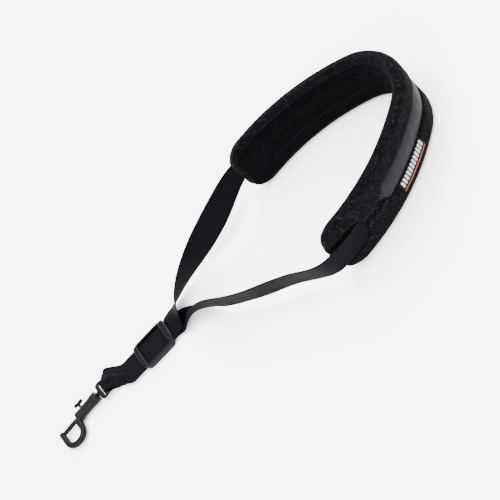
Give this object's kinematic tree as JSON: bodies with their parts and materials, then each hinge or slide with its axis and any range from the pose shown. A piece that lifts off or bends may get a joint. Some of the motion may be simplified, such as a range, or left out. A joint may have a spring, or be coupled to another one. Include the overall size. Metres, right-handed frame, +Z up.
{
  "type": "saxophone neck strap",
  "caption": "Padded neck strap for a saxophone, with webbing legs, a sliding length adjuster and a swivel snap hook with a spring bolt.",
  "frame": {"origin": "on the table, under the middle of the strap as it lies", "axes": "+Z up, +X from the snap hook to the top of the padded U, +Y to the strap's left leg"},
  "size_m": [0.4517, 0.1548, 0.0621],
  "materials": {
    "foam": "matt closed-cell foam",
    "cover_fabric": "brushed knit",
    "lining_fabric": "fine matt knit",
    "satin_strip": "satin weave",
    "thread": "sewing thread",
    "label_weave": "woven, orange edge line",
    "webbing": "ribbed nylon webbing, satin",
    "slider_plastic": "semi-gloss",
    "hook_plastic": "semi-gloss",
    "bolt_plastic": "fine matt",
    "spring_steel": "drawn wire"
  },
  "bodies": {
    "strap": {"pad_foam": "foam", "pad_cover": "cover_fabric", "pad_lining": "lining_fabric", "pad_strip": "satin_strip", "upper_seam": "thread", "lower_seam": "thread", "left_box_stitch": "thread", "right_box_stitch": "thread", "left_tack_stitch": "thread", "right_tack_stitch": "thread", "label": "label_weave", "label_stitch": "thread", "left_leg_webbing": "webbing", "right_leg_webbing": "webbing", "loop_stitch": "thread"},
    "slider": {"slider": "slider_plastic"},
    "eye": {"swivel_eye": "hook_plastic"},
    "hook": {"hook_body": "hook_plastic", "bolt_spring": "spring_steel"},
    "bolt": {"bolt": "bolt_plastic", "thumb_knob": "bolt_plastic"}
  },
  "joints": [
    {"name": "slider_slide", "type": "slide", "parent": "strap", "child": "slider", "axis": [-0.9962, 0.0872, 0], "range_m": [0, 0.014]},
    {"name": "eye_tilt", "type": "hinge", "parent": "strap", "child": "eye", "pos_m": [-0.1637, 0.0578, 0.0055], "axis": [0, 1, 0], "range_deg": [-75, 75]},
    {"name": "hook_swivel", "type": "hinge", "parent": "eye", "child": "hook", "pos_m": [-0.1757, 0.0578, 0.0055], "axis": [1, 0, 0], "continuous": true},
    {"name": "bolt_slide", "type": "slide", "parent": "hook", "child": "bolt", "axis": [1, 0, 0], "range_m": [0, 0.009], "stiffness_N_per_m": 150, "springref_m": -0.003, "deforming": ["bolt_spring"]}
  ]
}
